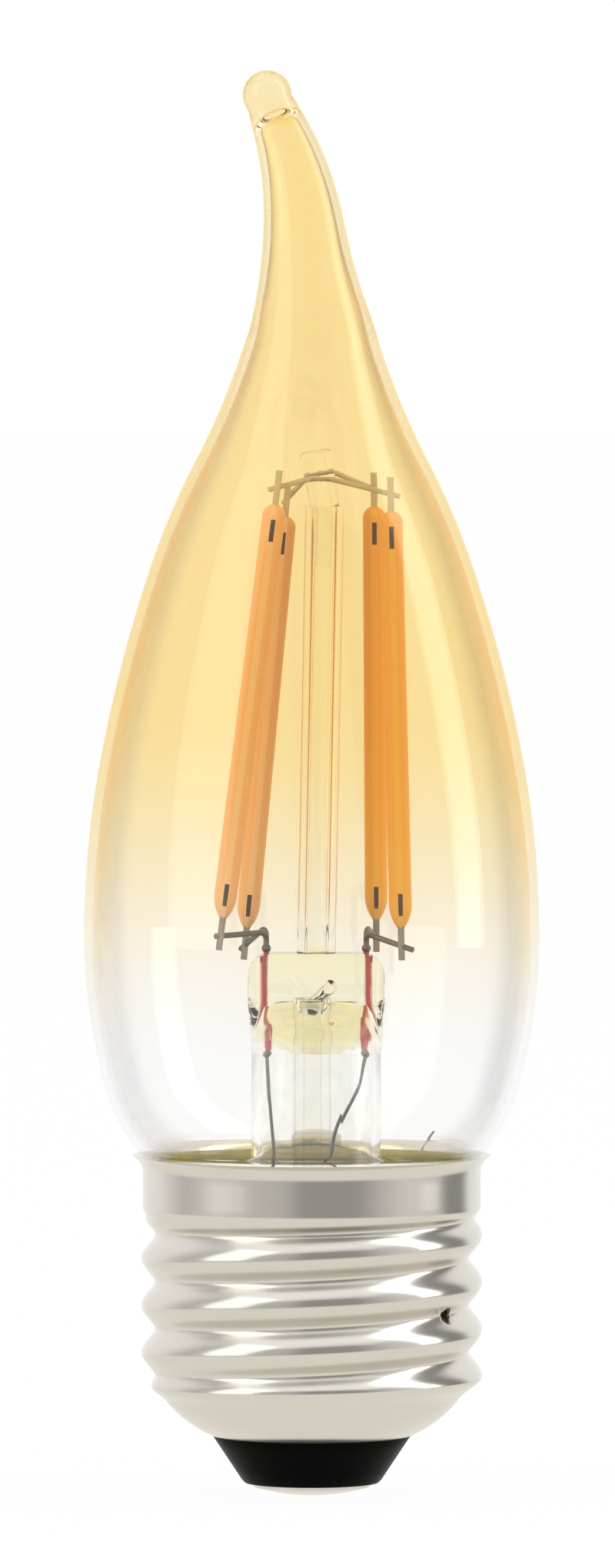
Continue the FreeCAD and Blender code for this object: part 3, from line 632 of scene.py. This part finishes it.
def blown_glass(look):
    """Clear glass whose amber tint rises smoothly with height and is deeper in the solid bead.

    Towards a wall's rim part of the light goes straight through the tint, as in a long path in the wall.
    """
    material, tree, shader = new_material("amber glass")
    _, _, z = parted(tree, "Object")
    risen = mapped(tree, z, look.clear_below, look.amber_above, "SMOOTHSTEP")
    tint = blend_colours(tree, risen, look.clear, look.amber)
    solid = mapped(tree, z, look.bead_start, look.bead_start + MM, "SMOOTHSTEP")
    tint = blend_colours(tree, solid, tint, look.bead_tint)
    tree.links.new(tint, shader.inputs["Base Color"])
    clear_body(shader)
    facing = tree.nodes.new("ShaderNodeLayerWeight").outputs["Facing"]
    rim = scaled(tree, mapped(tree, facing, *AMBER_RIM, "SMOOTHSTEP"), look.rim_share)
    tinted = tree.nodes.new("ShaderNodeBsdfTransparent")
    tree.links.new(tint, tinted.inputs["Color"])
    surface = mixed(tree, rim, shader.outputs["BSDF"], tinted.outputs["BSDF"])
    light_through(tree, surface, AMBER_SHADE)
    return material


def stem_glass(look):
    """Clear glass, yellower in the thick press and rippled where the tube was pinched shut."""
    material, tree, shader = new_material("stem glass")
    _, _, z = parted(tree, "Object")
    pressed = band(tree, z, look.press_low, look.press_high, MM)
    tint = blend_colours(tree, pressed, look.stem_tint, look.press_tint)
    tree.links.new(tint, shader.inputs["Base Color"])
    folded = band(tree, z, look.ripple_low, look.ripple_high, RIPPLE_EDGE)
    ripple = combine(tree, "MULTIPLY", noise(tree, scale=380.0, detail=1.0), folded)
    bumped(tree, shader, ripple, strength=0.8, depth=0.8 * MM)
    clear_body(shader)
    light_through(tree, shader.outputs["BSDF"], CLEAR_SHADE)
    return material


def tube_glass(look):
    """Thin clear glass that doesn't bend light: darker towards its rim, where it reflects more."""
    material, tree, _ = new_material("tube glass")
    facing = tree.nodes.new("ShaderNodeLayerWeight").outputs["Facing"]
    rim = mapped(tree, facing, *TUBE_RIM, "SMOOTHSTEP")
    clear = tree.nodes.new("ShaderNodeBsdfTransparent")
    tree.links.new(blend_colours(tree, rim, look.stem_tint, look.tube_rim), clear.inputs["Color"])
    gloss = tree.nodes.new("ShaderNodeBsdfGlossy")
    gloss.inputs["Roughness"].default_value = 0.02
    sheen = scaled(tree, mapped(tree, facing, *TUBE_GLOSS, "SMOOTHSTEP"), TUBE_GLOSS_SHARE)
    surface = mixed(tree, sheen, clear.outputs["BSDF"], gloss.outputs["BSDF"])
    light_through(tree, surface, CLEAR_SHADE)
    return material


def nickel_plate(look):
    """Bright plated sheet with faint handling marks."""
    material, tree, shader = new_material("nickel plating")
    shade = noise(tree, scale=260.0, detail=6.0)
    worn = [channel * look.worn for channel in look.nickel]
    tree.links.new(blend_colours(tree, shade, worn, look.nickel), shader.inputs["Base Color"])
    shader.inputs["Metallic"].default_value = 1.0
    shader.inputs["Roughness"].default_value = 0.17
    bumped(tree, shader, noise(tree, scale=700.0), strength=0.04, depth=GRAIN_DEPTH)
    return material


def phosphor_coat(look, side, stick_length):
    """Satin silicone with phosphor, a painted highlight down the middle of its front, and each tab's dark
    end showing through.
    """
    # pale is the colour of the painted highlight
    phosphor, pale = getattr(look, f"phosphor_{side}"), getattr(look, f"stripe_{side}")
    material, tree, shader = new_material(f"phosphor coating {side}")
    uv = tree.nodes.new("ShaderNodeUVMap")
    uv.uv_map = "along"
    split = tree.nodes.new("ShaderNodeSeparateXYZ")
    tree.links.new(uv.outputs["UV"], split.inputs["Vector"])
    around, along = split.outputs["X"], split.outputs["Y"]
    across = look.mark_width / (4 * math.pi * look.radius)
    half = look.mark_length / 2 / stick_length
    inset = (look.mark_inset + look.mark_length / 2) / stick_length
    ends = combine(tree, "ADD", within(tree, along, inset, half), within(tree, along, 1 - inset, half))
    mark = combine(tree, "MULTIPLY", within(tree, around, 0.5, across), ends)
    # A paler band down the middle of the front: a painted highlight
    painted_highlight = within(tree, around, 0.5, PAINTED_HIGHLIGHT_WIDTHS * across)
    grain = noise(tree, scale=2600.0)
    deep = [channel * COAT_DEEPER for channel in phosphor]
    coat = blend_colours(tree, grain, deep, phosphor)
    # The painted highlight laid over the coat's own colour
    highlighted = blend_colours(tree, painted_highlight, coat, pale)
    tree.links.new(blend_colours(tree, mark, highlighted, look.mark), shader.inputs["Base Color"])
    shader.inputs["Roughness"].default_value = 0.38
    return material


# Operators


class LAMP_OT_envelope(Operator):
    """Blown glass body with its bent tip and closing bead."""

    bl_idname = "lamp.envelope"
    bl_label = "Glass envelope"

    def execute(self, context):
        look = context.scene.lamp_glass
        outer = body_wall(look, 0.0)
        inner = body_wall(look, look.wall)
        body_end, inner_end = outer[-1], inner[-1]
        tip = tip_wall(body_end, 0.0, len(TIP_SECTIONS))
        hollow = tip_wall(inner_end, look.tip_wall, len(TIP_SECTIONS) - 1)
        grid = np.concatenate(
            [
                dome(hollow, hollow[1][-1], 0.0, 90.0, count=14)[::-1],
                rings(*hollow)[::-1],
                lathe(inner)[::-1],
                lathe(neck_end(look)),
                lathe(outer),
                rings(*tip),
                bead(look, tip),
            ]
        )
        piece = skin("glass_envelope_blown", grid)
        place(piece, "glass_envelope", blown_glass(look))
        return {"FINISHED"}


def lip_foot():
    """Height where the neck ends and the body starts to swell."""
    return collar["pos_m"][2] + collar["dims"]["length_mm"] / 2 * MM


def neck_end(look):
    """The flat ring at the neck's lower end, from the wall's inside to its outside."""
    return straight((look.neck_radius - look.wall, glass_low.z), (look.neck_radius, glass_low.z), MM)


def body_wall(look, inset):
    """Profile of the neck and body, set inwards by an inset.

    On an arc from slope a to slope b, r falls and z rises as r0 - R (cos a - cos s) and
    z0 + R (sin s - sin a) with slope s, and the wall's inside lies along (cos s, sin s).
    """
    r, z, slope = look.neck_radius, lip_foot(), 0.0
    rows = [straight((r - inset, glass_low.z), (r - inset, z), NECK_STEP)]
    for rise, degrees in OUTLINE_SLOPES:
        end_slope, end_z = math.radians(degrees), lip_foot() + rise * MM
        bend = (end_z - z) / (math.sin(end_slope) - math.sin(slope))
        lean = np.linspace(slope, end_slope, BODY_ARC_POINTS)[1:]
        radii = r - bend * (math.cos(slope) - np.cos(lean))
        heights = z + bend * (np.sin(lean) - math.sin(slope))
        rows.append(np.stack([radii - inset * np.cos(lean), heights - inset * np.sin(lean)], axis=1))
        r, z, slope = radii[-1], heights[-1], end_slope
    return np.concatenate(rows)


def tip_wall(start, inset, count):
    """Centres, radii and tilts of the bent tip's circles, above the body's last point.

    The centre's place and the radius are cubic functions of height, and the tilt follows the centre's line.
    """
    sections = TIP_SECTIONS[:count]
    base = lip_foot() + OUTLINE_SLOPES[-1][0] * MM
    first = start[1] - base
    heights = [first] + [height * MM for _, height, _ in sections]
    sides = [0.0] + [side * MM for side, _, _ in sections]
    radii = [start[0]] + [radius * MM - inset for _, _, radius in sections]
    taper = -math.tan(math.radians(OUTLINE_SLOPES[-1][1]))
    side = spline(heights, sides, 0.0, TIP_END_LEAN)
    radius = spline(heights, radii, taper, TIP_END_TAPER)
    rise = np.linspace(first, heights[-1], TIP_ROWS)[1:]
    centres = np.stack([side(rise), base + rise], axis=1)
    tilts = np.arctan(np.gradient(side(rise), rise))
    return centres, radius(rise), tilts


def dome(tube, radius, low, high, count):
    """Rings of a ball on a tube's end, between angles from the pole: radius sin a, height radius cos a."""
    centre, tilt = tube[0][-1], tube[2][-1]
    angles = np.radians(np.linspace(high, low, count))[1:]
    way = np.array([math.sin(tilt), math.cos(tilt)])
    centres = centre + radius * np.cos(angles)[:, None] * way
    return rings(centres, radius * np.sin(angles), np.full(len(angles), tilt))


def bead(look, tip):
    """The solid bead: rings of a ball from where it meets the tip to its pole."""
    centre = tip[0][-1] + np.array([look.bead_drift, look.bead_rise])
    widest = math.degrees(math.asin(min(1.0, tip[1][-1] / look.bead_radius)))
    tube = (np.array([centre]), tip[1][-1:], tip[2][-1:])
    return dome(tube, look.bead_radius, 0.0, 180 - widest, count=22)


class LAMP_OT_screw_cap(Operator):
    """Plated sheet shell with its rolled thread, plain collar, flared lip and vent hole."""

    bl_idname = "lamp.screw_cap"
    bl_label = "Screw cap"

    def execute(self, context):
        look = context.scene.lamp_cap
        outer, inner = cap_profile(look, 0.0), cap_profile(look, look.wall)
        grid = np.concatenate([rolled(look, outer, 0.0), rolled(look, inner[::-1], look.wall)])
        shell = skin("screw_shell_rolled", grid, closed=True)
        pierce(shell, look)
        place(shell, "screw_shell", nickel_plate(look))
        black = plain_finish(
            "black insulator", look.insulator, roughness=0.36, uneven=0.3, bump=0.1, gloss=0.03
        )
        smoothed("base_insulator", black)
        smoothed("centre_contact", nickel_plate(look))
        cement = plain_finish(
            "basing cement", look.cement, roughness=0.35, grain=420.0, uneven=0.6, bump=0.7
        )
        smoothed("basing_cement", cement)
        return {"FINISHED"}


def cap_profile(look, inset):
    """The sheet's profile without its thread, from the lower edge to the lip, set inwards by an inset."""
    lip_radius = shell_high.x - inset
    collar_radius = collar["dims"]["r_mm"] * MM - inset
    lip_start = lip_foot()
    half = (shell_high.z - lip_start) / 2
    flare = lip_radius - collar_radius
    bend = ((2 * half) ** 2 + flare**2) / (2 * flare)
    bulge = bend - math.sqrt(bend**2 - half**2)
    sleeve = look.sleeve_radius - inset
    diagonal = inset * math.sqrt(0.5)
    rise = look.sleeve_start - shell_low.z
    edge_end = (look.edge_radius + EDGE_OUT, shell_low.z + EDGE_UP + EDGE_WALL_SHARE * inset)
    middle_radius = look.sleeve_radius - look.shoulder_bulge - diagonal
    middle = (middle_radius, shell_low.z + SHOULDER_MIDDLE_SHARE * rise + diagonal)
    step_low, step_top = look.step_start + inset / 3, look.step_start + look.step_height
    sleeve_step = FINE_STEP if inset == 0 else COARSE_STEP
    parts = [
        straight((look.edge_radius, shell_low.z + inset), edge_end, COARSE_STEP),
        arc(edge_end, middle, (sleeve, look.sleeve_start), count=40)[1:],
        straight((sleeve, look.sleeve_start), (sleeve, step_low), sleeve_step)[1:],
        swelling((sleeve, step_low), (collar_radius, step_top), FINE_STEP)[1:],
        straight((collar_radius, step_top), (collar_radius, lip_start), COARSE_STEP)[1:],
        arc(
            (collar_radius, lip_start),
            (collar_radius + bulge, lip_start + half),
            (lip_radius, shell_high.z),
            count=10,
        )[1:],
    ]
    return np.concatenate(parts)


def rolled(look, profile, inset):
    """The profile turned about the axis with the right-hand thread rolled into it.

    At height z and angle f the crest's share is ((1 + cos(2 pi (z - first) / pitch - f)) / 2)^p,
    with p under 1 for full crests and narrow grooves. The radius goes by the share from the plain
    sheet's to the crest's. The share fades in over half a turn below the first crest and fades out
    across the step to the collar.
    """
    around = turns(COLUMNS)
    radii, heights = profile[:, 0, None], profile[:, 1, None]
    phase = 2 * np.pi * (heights - look.first_crest) / look.thread_pitch - around
    crest = look.sleeve_radius + look.thread_height - inset
    run_in = smooth(1 + (heights - look.first_crest) / (look.thread_pitch / 2))
    run_out = 1 - smooth((heights - look.step_start) / look.step_height)
    share = ((1 + np.cos(phase)) / 2) ** look.crest_fullness * run_in * run_out
    radius = radii + np.maximum(crest - radii, 0) * share
    spread = np.broadcast_to(heights, radius.shape)
    return np.stack([radius * np.cos(around), radius * np.sin(around), spread], axis=2)


def pierce(shell, look):
    """Cut the vent hole with a round bar through the sleeve."""
    reach = look.sleeve_radius + look.thread_height
    way = Vector((math.cos(look.vent_bearing), math.sin(look.vent_bearing), 0))
    side = Vector((-way.y, way.x, 0))
    around = turns(VENT_CORNERS)
    circle = look.vent_radius * np.stack([np.cos(around), np.sin(around)], axis=1)
    rows = []
    near, far = VENT_BAR_ENDS
    for out, scale in ((near, 0), (near, 1), (far, 1), (far, 0)):
        centre = np.array(way * reach * out + Vector((0, 0, look.vent_height)))
        rows.append(centre + scale * (circle[:, :1] * np.array(side) + circle[:, 1:] * np.array((0, 0, 1))))
    cutter = skin("vent_bar", np.array(rows))
    bore = shell.modifiers.new("vent", "BOOLEAN")
    bore.object, bore.operation, bore.solver = cutter, "DIFFERENCE", "EXACT"
    graph = bpy.context.evaluated_depsgraph_get()
    pierced = bpy.data.meshes.new_from_object(shell.evaluated_get(graph))
    shell.modifiers.clear()
    shell.data = pierced
    bpy.data.objects.remove(cutter)


class LAMP_OT_stem(Operator):
    """Flare, tube and press with the exhaust tube, the column and its bead."""

    bl_idname = "lamp.stem"
    bl_label = "Glass stem"

    def execute(self, context):
        look = context.scene.lamp_glass
        glass = stem_glass(look)
        for node in ("stem", "stem_column", "column_bead"):
            smoothed(node, glass)
        smoothed("exhaust_tube", tube_glass(look))
        return {"FINISHED"}


class LAMP_OT_filaments(Operator):
    """Coated sticks with their carrier strips and tabs."""

    bl_idname = "lamp.filaments"
    bl_label = "Filament sticks"

    def execute(self, context):
        look = context.scene.lamp_filament
        strip = plain_finish("carrier strip", look.strip, roughness=0.5)
        tab = plain_finish("stamped tab", look.tab, roughness=0.3, metallic=0.8, uneven=0.3)
        pale_tab = plain_finish("upper tab", look.support, roughness=0.3, metallic=0.3, uneven=0.3)
        coats = {}
        for stick in STICKS:
            foot, head = stick_ends(f"{stick}_coating")
            stick_length = np.linalg.norm(head - foot)
            side = stick.split("_")[1]
            coats[side] = coats.get(side) or phosphor_coat(look, side, stick_length)
            grid, uv = coated_stick(look, foot, head)
            piece = skin(f"{stick}_coating_satin", grid, uv=uv)
            place(piece, f"{stick}_coating", coats[side])
            for part, finish, slot in (
                ("strip", strip, "strip_ceramic"),
                ("lower_tab", tab, "tab_metal"),
                ("upper_tab", pale_tab, "tab_metal"),
            ):
                smoothed(f"{stick}_{part}", finish)
        return {"FINISHED"}


def stick_ends(node):
    """The lowest and highest points of a coating, which are its two poles."""
    mesh = frame["nodes"][node].data
    points = np.zeros(len(mesh.vertices) * 3)
    mesh.vertices.foreach_get("co", points)
    points = points.reshape(-1, 3)
    return points[points[:, 2].argmin()], points[points[:, 2].argmax()]


def coated_stick(look, foot, head):
    """Grid and UV of a coating: round the line from foot to head, pointed below and domed above.

    The radius is R times the lesser of sin(pi/2 (s / taper)^0.8) and the dome's sqrt(1 - t²),
    with s from the foot and t the height over the dome's foot in radii. The front is half a turn.
    """
    span = np.linalg.norm(head - foot)
    along = (head - foot) / span
    across = np.cross((0.0, 1.0, 0.0), along)
    across /= np.linalg.norm(across)
    back = np.cross(along, across)
    point_rows, middle_rows, dome_rows = STICK_ROWS
    low = look.taper * np.linspace(0, 1, point_rows) ** 2
    high = span - look.radius * np.linspace(1, 0, dome_rows) ** 2
    s = np.concatenate([low, np.linspace(look.taper, high[0], middle_rows)[1:-1], high])
    point = np.sin(np.pi / 2 * np.clip(s / look.taper, 0, 1) ** STICK_POINT_FULLNESS)
    over = np.clip((s - span + look.radius) / look.radius, 0, 1)
    radius = look.radius * np.minimum(point, np.sqrt(1 - over**2))
    around = turns(STICK_COLUMNS)
    ways = np.cos(around)[:, None] * back + np.sin(around)[:, None] * across
    grid = foot + s[:, None, None] * along + radius[:, None, None] * ways
    share = np.broadcast_to(around / (2 * np.pi), (len(s), len(around)))
    height = np.broadcast_to(s[:, None] / span, share.shape)
    return grid, np.stack([share, height], axis=2)


class LAMP_OT_wires(Operator):
    """Leads, support wires and the red wires sealed in the press."""

    bl_idname = "lamp.wires"
    bl_label = "Wires"

    def execute(self, context):
        look = context.scene.lamp_filament
        dark = plain_finish("lead wire", look.wire, roughness=0.32, metallic=0.85, uneven=0.4)
        pale = plain_finish("support wire", look.support, roughness=0.32, metallic=0.3, uneven=0.4)
        red = plain_finish("seal wire", look.seal, roughness=0.35, uneven=0.25)
        for node in WIRES:
            finish = pale if "support" in node else dark
            smoothed(node, finish, WIRE_SHARP_ANGLE)
        for node in ("left_seal_wire", "right_seal_wire"):
            smoothed(node, red, WIRE_SHARP_ANGLE)
        return {"FINISHED"}


class LAMP_OT_driver(Operator):
    """Circuit board in the cap and its components."""

    bl_idname = "lamp.driver"
    bl_label = "Driver"

    def execute(self, context):
        look = context.scene.lamp_driver
        chip = plain_finish("moulded package", look.chip, roughness=0.45)
        board = plain_finish("circuit board", look.board, roughness=0.5)
        can = plain_finish("capacitor sleeve", look.can, roughness=0.3)
        coat = plain_finish("resistor coat", look.resistor, roughness=0.6)
        for node, finish, slot in (
            ("driver_board", board, "board"),
            ("bridge_rectifier", chip, "chip_plastic"),
            ("driver_chip", chip, "chip_plastic"),
            ("smoothing_capacitor", can, "capacitor_can"),
            ("fusible_resistor", coat, "resistor_coat"),
        ):
            smoothed(node, finish)
        return {"FINISHED"}


class LAMP_OT_stage(Operator):
    """Plain pale floor, soft lamps, white surroundings and the camera."""

    bl_idname = "lamp.stage"
    bl_label = "Stage"

    def execute(self, context):
        look = context.scene.lamp_stage
        half = look.floor_size / 2
        mesh = bpy.data.meshes.new("floor")
        corners = [(-half, -half, 0), (half, -half, 0), (half, half, 0), (-half, half, 0)]
        mesh.from_pydata(corners, [], [(0, 1, 2, 3)])
        floor = bpy.data.objects.new("floor", mesh)
        context.scene.collection.objects.link(floor)
        mesh.materials.append(pale_floor(look))
        surroundings(context.scene, look)
        aim = Vector((0, 0, look.aim_height))
        for name, place_at, size, strength in SOFTBOXES:
            softbox(name, place_at, aim, size, getattr(look, strength))
        camera(context.scene, look)
        context.scene.view_settings.view_transform = "Standard"
        return {"FINISHED"}


def round_about(tree, x, y):
    """Grey levels round the lamp for metal and glass to show, by the bearing from the viewer's side.

    The bearing is atan2(x, -y), and REFLECTED_LEVELS gives its stops.
    """
    turned = combine(tree, "ARCTAN2", x, scaled(tree, y, -1.0))
    share = mapped(tree, turned, -math.pi, math.pi)
    return ramp_of(tree, share, [((degrees + 180) / 360, level) for degrees, level in REFLECTED_LEVELS])


def pale_floor(look):
    """White where seen directly, apart from a share left to the lamp's soft shadow.

    In metal and glass it is white near the lamp and takes the levels round about further off.
    """
    material, tree, shader = new_material("pale floor")
    shade = noise(tree, scale=3.0)
    paler = [min(1.0, channel * FLOOR_PALER) for channel in look.floor_colour]
    tree.links.new(blend_colours(tree, shade, look.floor_colour, paler), shader.inputs["Base Color"])
    shader.inputs["Roughness"].default_value = 0.9
    shader.inputs["Specular IOR Level"].default_value = 0.0
    x, y, _ = parted(tree, "Object")
    off = combine(tree, "ADD", combine(tree, "MULTIPLY", x, x), combine(tree, "MULTIPLY", y, y))
    far = mapped(tree, off, *FLOOR_CHANGE, "SMOOTHSTEP")
    level = blend_colours(tree, far, look.floor_near, round_about(tree, x, y))
    direct, glossy = ray_kinds(tree)
    plain = tree.nodes.new("ShaderNodeEmission")
    tree.links.new(blend_colours(tree, direct, level, WHITE), plain.inputs["Color"])
    seen = scaled(tree, combine(tree, "MAXIMUM", direct, glossy), look.floor_white)
    surface = mixed(tree, seen, shader.outputs["BSDF"], plain.outputs["Emission"])
    tree.links.new(surface, tree.nodes["Material Output"].inputs["Surface"])
    return material


def surroundings(scene, look):
    """White where seen directly or through glass.

    In reflections they take the levels round about, and turn pale overhead. Elsewhere they are the fill.
    """
    world = bpy.data.worlds.new("studio")
    world.use_nodes = True
    tree = world.node_tree
    tree.nodes.clear()
    x, y, z = parted(tree, "Generated")
    upward = mapped(tree, z, *OVERHEAD_BAND, "SMOOTHSTEP")
    level = blend_colours(tree, upward, round_about(tree, x, y), look.overhead)
    direct, glossy = ray_kinds(tree)
    fill = blend_colours(tree, glossy, look.fill, level)
    background = tree.nodes.new("ShaderNodeBackground")
    output = tree.nodes.new("ShaderNodeOutputWorld")
    tree.links.new(blend_colours(tree, direct, fill, WHITE), background.inputs["Color"])
    tree.links.new(background.outputs["Background"], output.inputs["Surface"])
    scene.world = world


def softbox(name, place_at, aim, size, power):
    """A rectangular lamp of a width and height, turned to a point."""
    lamp = bpy.data.lights.new(name, "AREA")
    lamp.shape, lamp.size, lamp.size_y, lamp.energy = "RECTANGLE", *size, power
    thing = bpy.data.objects.new(name, lamp)
    thing.location = place_at
    thing.rotation_euler = (aim - Vector(place_at)).to_track_quat("-Z", "Y").to_euler()
    bpy.context.scene.collection.objects.link(thing)


def camera(scene, look):
    """A long lens a little above the aim, so far off that the picture has the view's height."""
    lens = bpy.data.cameras.new("camera")
    lens.lens = look.lens
    lens.clip_start = 0.01
    distance = look.view_height * look.lens / lens.sensor_width
    aim = Vector((look.aim_side, 0, look.aim_height))
    away = Vector((0, -math.cos(look.elevation), math.sin(look.elevation)))
    viewer = bpy.data.objects.new("camera", lens)
    viewer.location = aim + away * distance
    viewer.rotation_euler = (-away).to_track_quat("-Z", "Y").to_euler()
    scene.collection.objects.link(viewer)
    scene.camera = viewer


OPERATORS = (
    LAMP_OT_envelope,
    LAMP_OT_screw_cap,
    LAMP_OT_stem,
    LAMP_OT_filaments,
    LAMP_OT_wires,
    LAMP_OT_driver,
    LAMP_OT_stage,
)


class LAMP_PT_sidebar(Panel):
    """The lamp's pieces, each with its operator."""

    bl_idname = "LAMP_PT_sidebar"
    bl_label = "Candle Lamp"
    bl_space_type = "VIEW_3D"
    bl_region_type = "UI"
    bl_category = "Candle Lamp"

    def draw(self, context):
        for operator in OPERATORS:
            self.layout.operator(operator.bl_idname)


LOOKS = {
    "lamp_glass": GlassLook,
    "lamp_cap": CapLook,
    "lamp_filament": FilamentLook,
    "lamp_driver": DriverLook,
    "lamp_stage": StageLook,
}


def register():
    for look in LOOKS.values():
        bpy.utils.register_class(look)
    for operator in (*OPERATORS, LAMP_PT_sidebar):
        bpy.utils.register_class(operator)
    for name, look in LOOKS.items():
        setattr(bpy.types.Scene, name, PointerProperty(type=look))


def unregister():
    for name in LOOKS:
        delattr(bpy.types.Scene, name)
    for kind in (LAMP_PT_sidebar, *reversed(OPERATORS), *reversed(LOOKS.values())):
        bpy.utils.unregister_class(kind)


def main():
    register()
    for operator in OPERATORS:
        group, name = operator.bl_idname.split(".")
        getattr(getattr(bpy.ops, group), name)()


if __name__ == "__main__":
    main()
